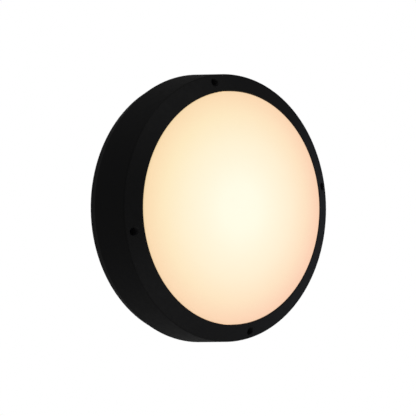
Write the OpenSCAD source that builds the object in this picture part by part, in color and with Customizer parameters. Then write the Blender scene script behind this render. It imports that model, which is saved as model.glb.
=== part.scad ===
// Round outdoor wall light. A shallow cast base stands on the wall. A deep cast front cover with a
// sloped rim closes it, and an opal diffuser is clamped behind the lip of that rim. The light
// source sits on a white tray over the driver and the terminal block.
// Millimetres, +Z up, the front faces -Y. The origin is the centre of the face against the wall.
// The modules draw every piece with the wall at z = 0 and the front towards +z, and on_wall()
// turns it upright.

/* [Body] */
// Largest diameter, at the seam between the base and the cover
body_d = 300; // [280:1:340]
// Depth of the base, from the wall to the seam
base_h = 14; // [12:0.5:20]
// How far the side of the base slopes in from the seam to the wall
base_taper = 4; // [1:0.1:6]
// Depth of the cover's side, from the seam to the shoulder
cover_h = 47; // [42:0.5:70]
// How far the side of the cover slopes in from the seam to the shoulder
cover_taper = 2.8; // [1:0.1:5]
// Depth of the sloped rim, from the shoulder to the lip
rim_h = 9.2; // [6.5:0.1:12]
// Width of the sloped rim, seen from the front
rim_w = 19.2; // [18:0.1:26]
// Wall thickness of the cover casting
cover_wall = 3.2; // [2.5:0.1:4]
// Thickness of the base floor
base_wall = 3; // [2.5:0.1:5]
// Depth of the hollow behind the base floor
back_recess = 2.5; // [2:0.1:4]

/* [Seam] */
// Gap left between the edges of the base and the cover
seam_gap = 0.4; // [0.2:0.1:1]
// How far the cover stands out over the base at the seam
seam_step = 0.5; // [0:0.1:1]
// Width of the groove that holds the seam seal
groove_w = 3.4; // [2.8:0.1:4.5]
// Depth of that groove
groove_h = 3; // [2.5:0.1:4]
// How far the cover's tongue reaches into the groove
tongue_h = 1.2; // [0.8:0.1:1.8]
// Width of the levering slot at the bottom of the cover
slot_w = 14; // [8:1:24]
// Height of that slot, along the depth of the light
slot_h = 5; // [3:0.5:8]
// Depth of that slot into the edge of the cover
slot_depth = 1.8; // [1:0.1:2.4]

/* [Cover screws] */
// Number of screws through the sloped rim
screw_count = 4; // [3:1:8]
// Angle of the first screw, up from the viewer's right
screw_phase = 10.7; // [0:0.1:45]
// Thread diameter of the cover screws
screw_d = 5; // [4:0.5:6]
// Length of the cover screws under the head
screw_l = 45; // [42:1:47]
// Head diameter of the cover screws
screw_head_d = 8.5; // [7:0.1:9]
// Head height of the cover screws
screw_head_h = 5; // [4:0.1:6]
// Diameter of the screw wells in the sloped rim
well_d = 9.6; // [9.4:0.1:11]
// Metal left between the bottom of a well and the seam
well_land = 36; // [34:0.5:38]
// Wall thickness around a screw well
well_wall = 1.6; // [1.2:0.1:2.5]
// Thickness of the seal under each screw head
screw_seal_t = 1.6; // [1.2:0.1:2]

/* [Diffuser] */
// How far the middle of the diffuser stands out from its edge
dome_rise = 8; // [3:0.5:20]
// Wall thickness of the diffuser
diffuser_t = 2.5; // [2:0.1:4]
// Thickness of the diffuser's flange
flange_t = 2.4; // [1.8:0.1:3.5]
// Width of the diffuser's flange, outside its neck
flange_w = 2.2; // [1.6:0.1:3]
// Gap between the diffuser and the lip of the cover
diffuser_gap = 0.3; // [0.2:0.1:0.6]
// Thickness of the lips of the diffuser seal
seal_t = 1.1; // [0.8:0.1:1.6]
// Thickness of the diffuser seal around the flange's edge
seal_side = 1.6; // [1.2:0.1:2.2]
// Thickness of the retaining ring
retainer_t = 1.6; // [1:0.1:2.5]
// Number of screws in the retaining ring
retainer_screw_count = 8; // [4:4:12]

/* [Wall fixing] */
// Diameter of the circle of wall fixing holes
fixing_pcd = 210; // [196:1:224]
// Number of wall fixing holes
fixing_count = 4; // [4:1:4]
// Diameter of the wall fixing holes
fixing_d = 5.5; // [4.5:0.1:6.5]
// Diameter of the pads around the fixing holes
fixing_pad_d = 18; // [14:0.5:20]
// Width of the seal against the wall
wall_seal_w = 4; // [3:0.1:5]
// Thickness of the seal against the wall
wall_seal_t = 2.2; // [1.5:0.1:2.5]
// Diameter of the supply cable that the grommet takes
cable_d = 8; // [6:0.5:11]
// Diameter of the grommet's hole in the base
entry_d = 22; // [20:0.5:26]

/* [Gear tray and light source] */
// Gap between the edge of the tray and the opening, seen from the front
tray_gap = 4; // [3:0.5:12]
// Sheet thickness of the tray
tray_t = 1.2; // [0.8:0.1:2]
// Height of the tray's sloped rim
tray_rim_h = 12; // [6:0.5:15]
// Width of the tray's sloped rim, seen from the front
tray_rim_w = 10; // [6:0.5:12]
// Distance from the centre to the tray posts
post_circle = 100; // [94:1:106]
// Diameter of the light source board
board_d = 150; // [130:1:160]
// Thickness of the light source board
board_t = 1.6; // [1:0.1:2]
// Thickness of the heat-conducting pad under the board
pad_t = 0.5; // [0.3:0.1:1]
// Thickness of one light-emitting chip
chip_t = 0.7; // [0.5:0.1:1]
// Number of rings of chips on the board
chip_ring_count = 3; // [1:1:4]
// Distance between the chips along a ring
chip_spacing = 18; // [12:0.5:24]

/* [Driver and terminals] */
// Length of the driver's case without its ears
driver_l = 96; // [80:1:104]
// Width of the driver's case
driver_w = 44; // [36:1:48]
// Height of the driver's case
driver_h = 22; // [18:0.5:26]
// Free height between the driver and the tray
driver_gap = 2; // [1:0.5:6]
// Distance from the centre down to the driver
driver_drop = 52; // [48:1:56]
// Distance from the centre up to the terminal block
block_rise = 38; // [36:1:46]
// Distance between the poles of the terminal block
pole_pitch = 10; // [8:0.5:12]
// Width of the terminal block, along its wires
block_w = 20; // [18:0.5:24]
// Height of the terminal block
block_h = 15; // [14:0.5:18]
// Diameter of the mains wires over their insulation
mains_wire_d = 2.4; // [2:0.1:2.8]
// Diameter of the low-voltage wires over their insulation
led_wire_d = 1.6; // [1.2:0.1:2]

/* [Hidden] */

// Smoothness of rings, of small round parts and of rounded corners
ring_fn = 180;
small_fn = 32;
corner_steps = 4;
// Extra depth of a cut past the face that it opens
cut = 1;
// How far a joined feature reaches into the metal that carries it
bite = 0.6;
// Gap between a screw and its tapped hole, and between a screw and a plain hole
thread_gap = 0.05;
screw_gap = 0.25;
// How much deeper a tapped hole is than its screw reaches, in a casting and in a thin boss
tap_end = 1;
tap_end_thin = 0.2;

// Outer form of the two castings
body_r = body_d / 2;
foot_r = body_r - seam_step - base_taper;
shoulder_z = base_h + cover_h;
shoulder_r = body_r - cover_taper;
lip_z = shoulder_z + rim_h;
opening_r = shoulder_r - rim_w;
rim_slope = rim_h / rim_w;
rim_skin = cover_wall * norm([1, rim_slope]);
function side_r(z) = body_r - cover_taper * (z - base_h) / cover_h;
function rim_z(r) = shoulder_z + (shoulder_r - r) * rim_slope;
function under_rim_z(r) = rim_z(r) - rim_skin;

// Seal groove at the seam
edge_wall = 2.4;
inner_wall = 2.1;
groove_out = body_r - seam_step - edge_wall;
groove_in = groove_out - groove_w;
base_rim_in = groove_in - inner_wall;
base_rim_z = base_h - seam_gap;
tongue_gap = 0.5;
tongue_in = groove_in + tongue_gap;
tongue_out = groove_out - tongue_gap;
cover_rim_setback = 1;
cover_rim_in = base_rim_in + cover_rim_setback;
cover_rim_h = 3.5;

// Base floor and the seal against the wall
floor_top = back_recess + base_wall;
foot_edge = 4;
foot_land = 3;
wall_seal_out = foot_r - foot_edge;
wall_seal_in = wall_seal_out - wall_seal_w;
foot_in = wall_seal_in - foot_land;

// Diffuser, its seal and the ring that clamps them under the lip
pocket_gap = 0.2;
pocket_wall = 1.8;
retainer_boss_r = 3.2;
retainer_boss_offset = 1.5;
retainer_grip = 4;
retainer_edge = 3;
under_rim_gap = 0.4;
pocket_end_gap = 0.6;
notch_gap = 0.6;
seal_neck_gap = 0.3;
seal_lap = 3;
dome_sink = 0.4;
neck_r = opening_r - diffuser_gap;
flange_r = neck_r + flange_w;
seal_r = flange_r + seal_side;
pocket_r = seal_r + pocket_gap;
retainer_screw_r = pocket_r + retainer_boss_r + retainer_boss_offset;
retainer_in = flange_r - retainer_grip;
retainer_out = retainer_screw_r + retainer_edge;
retainer_top = under_rim_z(retainer_out) - under_rim_gap;
pocket_end_z = retainer_top + pocket_end_gap;
flange_bottom = retainer_top + seal_t;
flange_top = flange_bottom + flange_t;
seat_z = flange_top + seal_t;
dome_edge_z = lip_z - dome_sink;
dome_sphere_r = (neck_r * neck_r + dome_rise * dome_rise) / (2 * dome_rise);
dome_centre_z = dome_edge_z + dome_rise - dome_sphere_r;

// Cover screws in their wells
pillar_r = well_d / 2 + well_wall;
pillar_gap = 0.3;
screw_r = pocket_r + pillar_r + pillar_gap;
well_z = base_h + well_land;
screw_head_z = well_z + screw_seal_t;
screw_tip_z = screw_head_z - screw_l;
boss_r = 4.9;
pillar_web_w = 10;
boss_web_w = 8;
boss_web_drop = 1;
screw_seal_gap = 0.1;
socket_af = 0.8 * screw_d;

// Retaining ring screws
retainer_screw_d = 3;
retainer_screw_l = 4.5;

// Wall fixing holes and the cable entry
fixing_phase = 45;
fixing_seal_r = 7;
fixing_seal_t = 2;
entry_r = entry_d / 2;
grommet_flange = 3;
grommet_lip = 2;
grommet_snout = 5.5;
grommet_cone_w = 4;
grommet_tip_w = 1.6;
entry_ring_gap = 0.5;
entry_ring_in = entry_r + grommet_flange + entry_ring_gap;
entry_ring_w = 3;

// Tray and light source
floor_gap = 0.5;
driver_z = floor_top + floor_gap;
tray_z = driver_z + driver_h + driver_gap;
tray_r = opening_r - tray_gap;
tray_flat_r = tray_r - tray_rim_w;
post_count = 4;
post_r = 5;
gusset_count = 4;
gusset_l = 5;
gusset_h = 15;
gusset_t = 2.4;
tray_screw_d = 4;
tray_screw_l = 8;
pad_z = tray_z + tray_t;
pad_setback = 1;
board_z = pad_z + pad_t;
board_top = board_z + board_t;
board_r = board_d / 2;
board_screw_count = 3;
board_screw_d = 3;
board_screw_l = 6;
board_screw_margin = 5;
board_screw_circle = board_r - board_screw_margin;
board_screw_phase = 90;
chip_size = [2.8, 3.5];
chip_margin = 17;
chip_ring_out = board_r - chip_margin;
connector_size = [9, 10, 4.2];
release_size = [3, 1.2, 0.8];
wire_angle = -20;
connector_margin = 9;
connector_r = board_r - connector_margin;
bush_r = 4.5;
bush_margin = 11;
bush_circle = board_r + bush_margin;
bush_neck_r = 3.3;
bush_play = 0.7;
bush_hole_r = led_wire_d + bush_play;

// Driver, terminal block and earth point
case_round = 2.5;
lid_h = 7;
lid_round = 1.5;
lid_seam_h = 0.6;
lid_seam_depth = 0.5;
ear_l = 7;
ear_w = 20;
ear_t = 3;
ear_rise = 3;
ear_z = floor_top + ear_rise;
ear_boss_r = 3.4;
driver_screw_d = 3.5;
driver_screw_l = 8;
driver_screw_x = driver_l / 2 + ear_l / 2;
driver_port_z = driver_z + driver_h / 2;
port_spread = 1.5;
pole_count = 3;
block_l = pole_count * pole_pitch;
block_z = floor_top + floor_gap;
block_top = block_z + block_h;
block_ear_w = 8;
port_gap = 0.5;
tower_r = 3.1;
tower_h = 4.5;
tower_bore_gap = 0.4;
pole_groove_w = 0.8;
pole_groove_depth = 1.2;
block_screw_d = 3;
block_screw_l = 8;
block_screw_x = block_l / 2 + ear_l / 2;
insert_size = [5, 14, 6];
insert_rise = 3;
insert_gap = 0.2;
insert_z = block_z + insert_rise;
pole_z = insert_z + insert_size.z / 2;
clamp_screw_d = 3;
clamp_screw_y = 4.4;
clamp_screw_sink = 1;
clamp_slot_w = 0.6;
clamp_slot_depth = 1;
earth_x = 52;
earth_y = 34;
earth_boss_h = 4;
earth_boss_r = 5;
earth_z = floor_top + earth_boss_h;
earth_screw_d = 4;
earth_screw_l = 5;
tag_t = 0.8;
tag_ring_r = 4.6;
tag_neck_w = 3;
tag_angle = 110;
tag_reach = 9;
tag_barrel_l = 6;
tag_barrel_wall = 0.7;
tag_barrel_r = mains_wire_d / 2 + tag_barrel_wall;
tag_barrel_z = earth_z + tag_barrel_r;

// Colours
body_black = "#1b1c1e";
screw_black = "#101113";
rubber_black = "#141414";
seal_grey = "#3c3d3f";
opal = "#f6e7cf";
tray_white = "#f2f2ee";
zinc = "#b9bcc0";
brass = "#c9a24a";

// A corner of an outline, rounded where the point carries a radius as its third value
function unit(v) = v / norm(v);
function flat(p) = [p.x, p.y];
function corner(before, p, after) =
    p.z == 0 ? [flat(p)] :
    let (u = unit(flat(before) - flat(p)), v = unit(flat(after) - flat(p)))
    let (half = acos(u * v) / 2, centre = flat(p) + unit(u + v) * p.z / sin(half))
    let (first = flat(p) + u * p.z / tan(half) - centre, last = flat(p) + v * p.z / tan(half) - centre)
    let (start = atan2(first.y, first.x))
    let (turn = (atan2(last.y, last.x) - start + 540) % 360 - 180)
    [for (k = [0:corner_steps])
        centre + p.z * [cos(start + turn * k / corner_steps), sin(start + turn * k / corner_steps)]];
function rounded(points) =
    let (n = len(points))
    [for (i = [0:n - 1]) each corner(points[(i + n - 1) % n], points[i], points[(i + 1) % n])];

// Points of a shallow dome's section, from the axis out to radius r
function dome_arc(sphere_r, r, steps) =
    let (end = asin(r / sphere_r))
    [for (k = [0:steps]) let (a = end * k / steps)
        [sphere_r * sin(a), dome_centre_z + sphere_r * cos(a), 0]];
function reversed(list) = [for (i = [len(list) - 1:-1:0]) list[i]];

// Points along a curve with four control points
function curve(p, steps) =
    [for (k = [0:steps]) let (t = k / steps, s = 1 - t)
        s * s * s * p[0] + 3 * s * s * t * p[1] + 3 * s * t * t * p[2] + t * t * t * p[3]];

module on_wall() {
    rotate([90, 0, 0]) children();
}

// Places copies evenly around the axis
module around(count, radius, phase = 0) {
    for (i = [0:count - 1]) rotate([0, 0, phase + i * 360 / count]) translate([radius, 0, 0]) children();
}

// Turns an outline of [radius, height, corner radius] points about the axis
module turned(points) {
    rotate_extrude($fn = ring_fn) polygon(rounded(points));
}

module drum(r, z0, z1, fn = small_fn) {
    translate([0, 0, z0]) cylinder(r = r, h = z1 - z0, $fn = fn);
}

// A flat ring with a square section
module flat_ring(r_in, r_out, z0, z1, fn = small_fn) {
    difference() {
        drum(r_out, z0, z1, fn);
        drum(r_in, z0 - cut, z1 + cut, fn);
    }
}

// A block with rounded upright edges, centred on x and y
module rounded_block(size, radius) {
    x = size.x / 2;
    y = size.y / 2;
    linear_extrude(size.z)
        polygon(rounded([[-x, -y, radius], [x, -y, radius], [x, y, radius], [-x, y, radius]]));
}

// A bar along +x from x0 to x1, centred on y
module bar(x0, x1, width, z0, z1) {
    translate([x0, -width / 2, z0]) cube([x1 - x0, width, z1 - z0]);
}

// A round-headed screw with a cross recess, its head's underside at z = 0 and its shank below
module pan_screw(d, length) {
    head_r = d * 0.95;
    head_h = d * 0.6;
    recess = d * 0.24;
    difference() {
        union() {
            rotate_extrude($fn = small_fn)
                polygon(rounded([[0, 0, 0], [head_r, 0, 0], [head_r, head_h, d * 0.3], [0, head_h, 0]]));
            drum(d / 2, -length, bite);
        }
        for (turn = [0, 90]) rotate([0, 0, turn])
            bar(-d * 0.55, d * 0.55, recess, head_h / 2, head_h + cut);
    }
}

// A round wire along a list of points, with 8 sides. side_hint is any direction that the wire
// never runs along.
module wire(path, d, side_hint) {
    sides = 8;
    n = len(path);
    along = [for (i = [0:n - 1]) unit(path[min(i + 1, n - 1)] - path[max(i - 1, 0)])];
    rings = [for (i = [0:n - 1])
        let (u = unit(cross(along[i], side_hint)), v = cross(along[i], u))
        for (k = [0:sides - 1])
            path[i] + d / 2 * (u * cos(k * 360 / sides) + v * sin(k * 360 / sides))];
    walls = [for (i = [0:n - 2]) for (k = [0:sides - 1])
        let (a = i * sides + k, b = i * sides + (k + 1) % sides)
        each [[a, a + sides, b], [b, a + sides, b + sides]]];
    ends = [[for (k = [0:sides - 1]) k], [for (k = [sides - 1:-1:0]) (n - 1) * sides + k]];
    polyhedron(points = rings, faces = concat(walls, ends));
}

// Base casting
module base() {
    color(body_black) on_wall() difference() {
        union() {
            base_shell();
            base_back_ribs();
            base_bosses();
        }
        base_holes();
    }
}

module base_shell() {
    turned([
        [0, back_recess, 0], [foot_in, back_recess, 0.6], [foot_in, 0, 0.4],
        [wall_seal_in, 0, 0], [wall_seal_in, wall_seal_t, 0],
        [wall_seal_out, wall_seal_t, 0], [wall_seal_out, 0, 0],
        [foot_r, 0, 0.8], [body_r - seam_step, base_rim_z, 0.3],
        [groove_out, base_rim_z, 0], [groove_out, base_rim_z - groove_h, 0],
        [groove_in, base_rim_z - groove_h, 0], [groove_in, base_rim_z, 0],
        [base_rim_in, base_rim_z, 0.5], [base_rim_in, floor_top, 1.5], [0, floor_top, 0]]);
}

// Stiffening ribs on the back of the floor, short of the wall
module base_back_ribs() {
    rib_gap = 0.8;
    rib_w = 2.4;
    rib_count = 12;
    ring_rib_r = 62;
    around(rib_count, 0, fixing_phase)
        bar(entry_ring_in + bite, foot_in + bite, rib_w, rib_gap, back_recess + bite);
    flat_ring(ring_rib_r, ring_rib_r + rib_w, rib_gap, back_recess + bite, ring_fn);
    flat_ring(entry_ring_in, entry_ring_in + entry_ring_w, 0, back_recess + bite, 64);
    around(fixing_count, fixing_pcd / 2, fixing_phase) drum(fixing_pad_d / 2, 0, back_recess + bite);
}

// Bosses that stand on the inside of the floor
module base_bosses() {
    around(screw_count, screw_r, screw_phase) {
        drum(boss_r, floor_top - bite, base_h);
        bar(0, groove_in - screw_r - bite, boss_web_w, floor_top - bite, base_rim_z - boss_web_drop);
    }
    around(post_count, post_circle) {
        drum(post_r, floor_top - bite, tray_z);
        around(gusset_count, 0) gusset();
    }
    for (side = [-1, 1]) {
        translate([side * driver_screw_x, -driver_drop, 0]) drum(ear_boss_r, floor_top - bite, ear_z);
        translate([side * block_screw_x, block_rise, 0]) drum(ear_boss_r, floor_top - bite, ear_z);
    }
    translate([earth_x, earth_y, 0]) drum(earth_boss_r, floor_top - bite, earth_z);
}

// One of the fins that brace a tall post against the floor
module gusset() {
    rotate([90, 0, 0]) translate([0, 0, -gusset_t / 2]) linear_extrude(gusset_t) polygon([
        [post_r - bite, floor_top - bite], [post_r + gusset_l, floor_top - bite],
        [post_r + gusset_l, floor_top + bite], [post_r, floor_top + gusset_h],
        [post_r - bite, floor_top + gusset_h]]);
}

module tapped(d, top, depth) {
    drum(d / 2 + thread_gap, top - depth, top + cut);
}

module base_holes() {
    drum(entry_r, -cut, floor_top + cut, 64);
    around(fixing_count, fixing_pcd / 2, fixing_phase) drum(fixing_d / 2, -cut, floor_top + cut);
    around(screw_count, screw_r, screw_phase) tapped(screw_d, base_h, base_h - screw_tip_z + tap_end);
    around(post_count, post_circle) tapped(tray_screw_d, tray_z, tray_screw_l - tray_t + tap_end);
    for (side = [-1, 1]) {
        translate([side * driver_screw_x, -driver_drop, 0])
            tapped(driver_screw_d, ear_z, driver_screw_l - ear_t + tap_end_thin);
        translate([side * block_screw_x, block_rise, 0])
            tapped(block_screw_d, ear_z, block_screw_l - ear_t + tap_end_thin);
    }
    translate([earth_x, earth_y, 0]) tapped(earth_screw_d, earth_z, earth_screw_l - tag_t + tap_end);
}

module wall_seal() {
    color(seal_grey) on_wall() turned([
        [wall_seal_in, 0, 0], [wall_seal_out, 0, 0],
        [wall_seal_out, wall_seal_t, 0], [wall_seal_in, wall_seal_t, 0]]);
}

// Rubber grommet that clips into the base floor and grips the supply cable in its snout
module cable_grommet() {
    outer_r = entry_r + grommet_flange;
    color(rubber_black) on_wall() rotate_extrude($fn = 64) polygon(rounded([
        [cable_d / 2, back_recess - grommet_lip, 0], [outer_r, back_recess - grommet_lip, 0.6],
        [outer_r, back_recess, 0], [entry_r, back_recess, 0],
        [entry_r, floor_top, 0], [outer_r, floor_top, 0],
        [outer_r, floor_top + grommet_lip, 0.8], [cable_d / 2 + grommet_cone_w, floor_top + grommet_lip, 0.8],
        [cable_d / 2 + grommet_tip_w, floor_top + grommet_lip + grommet_snout, 0.4],
        [cable_d / 2, floor_top + grommet_lip + grommet_snout, 0]]));
}

module fixing_seals() {
    color(rubber_black) on_wall() around(fixing_count, fixing_pcd / 2, fixing_phase)
        flat_ring(fixing_d / 2, fixing_seal_r, floor_top, floor_top + fixing_seal_t);
}

// Seal in the groove at the seam, pressed by the cover's tongue
module seam_seal() {
    color(rubber_black) on_wall() turned([
        [groove_in, base_rim_z - groove_h, 0], [groove_out, base_rim_z - groove_h, 0],
        [groove_out, base_h - tongue_h, 0], [groove_in, base_h - tongue_h, 0]]);
}

// Cover casting: side, sloped rim and lip in one piece
module front_cover() {
    color(body_black) on_wall() difference() {
        union() {
            cover_shell();
            intersection() {
                cover_pillars();
                cover_middle();
            }
        }
        cover_holes();
    }
}

module cover_shell() {
    inner_shoulder_r = shoulder_r - cover_wall;
    turned([
        [body_r, base_h, 0.4], [shoulder_r, shoulder_z, 2.5], [opening_r, lip_z, 0.8],
        [opening_r, seat_z, 0], [pocket_r, seat_z, 0],
        [pocket_r, pocket_end_z, 0], [pocket_r + pocket_wall, pocket_end_z, 0],
        [pocket_r + pocket_wall, under_rim_z(pocket_r + pocket_wall), 0],
        [inner_shoulder_r, under_rim_z(inner_shoulder_r), 2],
        [side_r(base_h + cover_rim_h) - cover_wall, base_h + cover_rim_h, 1],
        [cover_rim_in, base_h + cover_rim_h, 0.6], [cover_rim_in, base_h, 0],
        [tongue_in, base_h, 0], [tongue_in, base_h - tongue_h, 0.3],
        [tongue_out, base_h - tongue_h, 0.3], [tongue_out, base_h, 0]]);
}

// Solid that ends in the middle of the cover's wall, which trims what stands inside the cover
module cover_middle() {
    inset = cover_wall / 2;
    turned([
        [0, base_h, 0], [body_r - inset, base_h, 0], [shoulder_r - inset, shoulder_z - inset / 2, 0],
        [opening_r, lip_z - rim_skin / 2, 0], [0, lip_z - rim_skin / 2, 0]]);
}

// Screw pillars, each tied to the side by a web, and the bosses for the retaining ring
module cover_pillars() {
    around(screw_count, screw_r, screw_phase) {
        drum(pillar_r, base_h, lip_z);
        bar(0, body_r - screw_r, pillar_web_w, base_h + cover_rim_h / 2, lip_z);
    }
    around(retainer_screw_count, retainer_screw_r, screw_phase + 180 / retainer_screw_count)
        drum(retainer_boss_r, retainer_top, lip_z);
}

module cover_holes() {
    around(screw_count, screw_r, screw_phase) {
        drum(screw_d / 2 + screw_gap, base_h - cut, well_z + cut);
        drum(well_d / 2, well_z, lip_z + cut);
    }
    around(retainer_screw_count, retainer_screw_r, screw_phase + 180 / retainer_screw_count)
        drum(retainer_screw_d / 2 + thread_gap, retainer_top - cut,
             retainer_top - retainer_t + retainer_screw_l + tap_end_thin);
    rotate([0, 0, -90]) bar(body_r - slot_depth, body_r + cut, slot_w, base_h - cut, base_h + slot_h);
}

// Socket-head screws at the bottom of the wells
module cover_screws() {
    color(screw_black) on_wall() around(screw_count, screw_r, screw_phase) difference() {
        union() {
            translate([0, 0, screw_head_z]) rotate_extrude($fn = small_fn) polygon(rounded([
                [0, 0, 0], [screw_head_d / 2, 0, 0],
                [screw_head_d / 2, screw_head_h, 0.5], [0, screw_head_h, 0]]));
            drum(screw_d / 2, screw_tip_z, screw_head_z + bite);
        }
        translate([0, 0, screw_head_z + screw_head_h / 2])
            cylinder(d = socket_af / cos(30), h = screw_head_h, $fn = 6);
    }
}

// Rubber rings under the screw heads
module screw_seals() {
    in_r = screw_d / 2 + screw_seal_gap;
    out_r = screw_head_d / 2;
    color(rubber_black) on_wall() around(screw_count, screw_r, screw_phase)
        rotate_extrude($fn = small_fn) polygon(rounded([
            [in_r, well_z, 0.4], [out_r, well_z, 0.4],
            [out_r, screw_head_z, 0.4], [in_r, screw_head_z, 0.4]]));
}

// Opal diffuser: a shallow dome on a short neck, with a flange that is clamped under the lip
module diffuser() {
    steps = 20;
    inner_r = neck_r - diffuser_t;
    outside = [for (p = dome_arc(dome_sphere_r, neck_r, steps))
        p.x < neck_r - 0.01 ? p : [neck_r, dome_edge_z, 1]];
    inside = dome_arc(dome_sphere_r - diffuser_t, inner_r, steps);
    color(opal) on_wall() turned(concat(
        outside,
        [[neck_r, flange_top, 0], [flange_r, flange_top, 0.4],
         [flange_r, flange_bottom, 0.4], [inner_r, flange_bottom, 0.4]],
        reversed(inside)));
}

// Channel-section seal around the diffuser's flange
module diffuser_seal() {
    in_r = neck_r + seal_neck_gap;
    lap_r = flange_r - seal_lap;
    color(seal_grey) on_wall() turned([
        [in_r, seat_z, 0], [seal_r, seat_z, 0], [seal_r, retainer_top, 0],
        [lap_r, retainer_top, 0], [lap_r, flange_bottom, 0],
        [flange_r, flange_bottom, 0], [flange_r, flange_top, 0], [in_r, flange_top, 0]]);
}

// Steel ring that clamps the diffuser and its seal, with notches for the screw pillars
module diffuser_retainer() {
    color(zinc) on_wall() difference() {
        flat_ring(retainer_in, retainer_out, retainer_top - retainer_t, retainer_top, ring_fn);
        around(screw_count, screw_r, screw_phase)
            drum(pillar_r + notch_gap, retainer_top - retainer_t - cut, retainer_top + cut);
        around(retainer_screw_count, retainer_screw_r, screw_phase + 180 / retainer_screw_count)
            drum(retainer_screw_d / 2 + screw_gap, retainer_top - retainer_t - cut, retainer_top + cut);
    }
}

module retainer_screws() {
    color(zinc) on_wall() around(retainer_screw_count, retainer_screw_r,
                                 screw_phase + 180 / retainer_screw_count)
        translate([0, 0, retainer_top - retainer_t]) rotate([180, 0, 0])
            pan_screw(retainer_screw_d, retainer_screw_l);
}

// White sheet tray that carries the light source and hides the driver
module gear_tray() {
    rim_top = tray_z + tray_rim_h;
    rim_t = 1.3 * tray_t;
    color(tray_white) on_wall() difference() {
        turned([
            [0, tray_z, 0], [tray_flat_r, tray_z, 3], [tray_r, rim_top, 0],
            [tray_r - rim_t, rim_top, 0], [tray_flat_r - tray_t / 2, tray_z + tray_t, 2],
            [0, tray_z + tray_t, 0]]);
        around(post_count, post_circle)
            drum(tray_screw_d / 2 + screw_gap, tray_z - cut, tray_z + tray_t + cut);
        around(board_screw_count, board_screw_circle, board_screw_phase)
            drum(board_screw_d / 2 + thread_gap, tray_z - cut, tray_z + tray_t + cut);
        rotate([0, 0, wire_angle]) translate([bush_circle, 0, 0])
            drum(bush_neck_r, tray_z - cut, tray_z + tray_t + cut);
    }
}

module tray_screws() {
    color(zinc) on_wall() around(post_count, post_circle) translate([0, 0, tray_z + tray_t])
        pan_screw(tray_screw_d, tray_screw_l);
}

// Bush that guards the wires where they pass through the tray
module tray_bush() {
    lip = 1.2;
    color(rubber_black) on_wall() rotate([0, 0, wire_angle]) translate([bush_circle, 0, 0])
        rotate_extrude($fn = small_fn) polygon(rounded([
            [bush_hole_r, tray_z - lip, 0.4], [bush_r, tray_z - lip, 0.4], [bush_r, tray_z, 0],
            [bush_neck_r, tray_z, 0], [bush_neck_r, tray_z + tray_t, 0], [bush_r, tray_z + tray_t, 0],
            [bush_r, tray_z + tray_t + lip, 0.4], [bush_hole_r, tray_z + tray_t + lip, 0.4]]));
}

module thermal_pad() {
    color("silver") on_wall() difference() {
        drum(board_r - pad_setback, pad_z, board_z, ring_fn);
        around(board_screw_count, board_screw_circle, board_screw_phase)
            drum(board_screw_d / 2 + screw_gap, pad_z - cut, board_z + cut);
    }
}

module led_board() {
    color(tray_white) on_wall() difference() {
        drum(board_r, board_z, board_top, ring_fn);
        around(board_screw_count, board_screw_circle, board_screw_phase)
            drum(board_screw_d / 2 + screw_gap, board_z - cut, board_top + cut);
    }
}

// Light-emitting chips in evenly spaced rings
module led_chips() {
    color("khaki") on_wall() for (ring = [1:chip_ring_count]) {
        ring_r = chip_ring_out * ring / chip_ring_count;
        count = round(2 * PI * ring_r / chip_spacing);
        around(count, ring_r, 180 / count)
            bar(-chip_size.x / 2, chip_size.x / 2, chip_size.y, board_top, board_top + chip_t);
    }
}

// Push-in connector at the edge of the board, with its two ports facing outwards and a release
// slot over each
module board_connector() {
    port_r = led_wire_d / 2 + thread_gap;
    color(tray_white) on_wall() rotate([0, 0, wire_angle])
    translate([connector_r, 0, board_top]) difference() {
        rounded_block(connector_size, 0.6);
        for (side = [-1, 1]) translate([0, side * connector_size.y / 4, 0]) {
            translate([0, 0, connector_size.z / 2])
                rotate([0, 90, 0]) cylinder(r = port_r, h = connector_size.x, $fn = small_fn);
            bar(-release_size.x / 2, release_size.x / 2, release_size.y,
                connector_size.z - release_size.z, connector_size.z + cut);
        }
    }
}

module board_screws() {
    color(zinc) on_wall() around(board_screw_count, board_screw_circle, board_screw_phase)
        translate([0, 0, board_top]) pan_screw(board_screw_d, board_screw_l);
}

// A bar along x, centred on x and y, with its two upper edges rounded
module ridge(length, width, z0, z1, radius) {
    y = width / 2;
    rotate([90, 0, 90]) translate([0, 0, -length / 2]) linear_extrude(length)
        polygon(rounded([[-y, z0, 0], [y, z0, 0], [y, z1, radius], [-y, z1, radius]]));
}

// Lid of the driver's case, with rounded edges
module driver_lid() {
    lid_z = driver_z + driver_h - lid_h;
    intersection() {
        translate([0, 0, lid_z]) rounded_block([driver_l, driver_w, lid_h], case_round);
        ridge(driver_l + cut, driver_w, lid_z - cut, driver_z + driver_h, lid_round);
        rotate([0, 0, 90]) ridge(driver_w + cut, driver_l, lid_z - cut, driver_z + driver_h, lid_round);
    }
}

// Driver in a sealed plastic case: a tub with an ear at each end, and a lid over a narrow seam
module led_driver() {
    tub_h = driver_h - lid_h - lid_seam_h;
    neck = [driver_l, driver_w, tub_h + lid_seam_h] - [1, 1, 0] * 2 * lid_seam_depth;
    color("whitesmoke") on_wall() translate([0, -driver_drop, 0]) difference() {
        union() {
            translate([0, 0, driver_z]) rounded_block([driver_l, driver_w, tub_h], case_round);
            translate([0, 0, driver_z + bite]) rounded_block(neck, case_round - lid_seam_depth);
            driver_lid();
            translate([0, 0, ear_z]) rounded_block([driver_l + 2 * ear_l, ear_w, ear_t], case_round);
        }
        for (side = [-1, 1]) translate([side * driver_screw_x, 0, 0])
            drum(driver_screw_d / 2 + screw_gap, ear_z - cut, ear_z + ear_t + cut);
        for (side = [-1, 1]) translate([-driver_l / 2, side * port_spread * mains_wire_d, driver_port_z])
            wire_port(mains_wire_d);
        for (side = [-1, 1]) translate([driver_l / 2, side * port_spread * led_wire_d, driver_port_z])
            wire_port(led_wire_d);
    }
}

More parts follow.
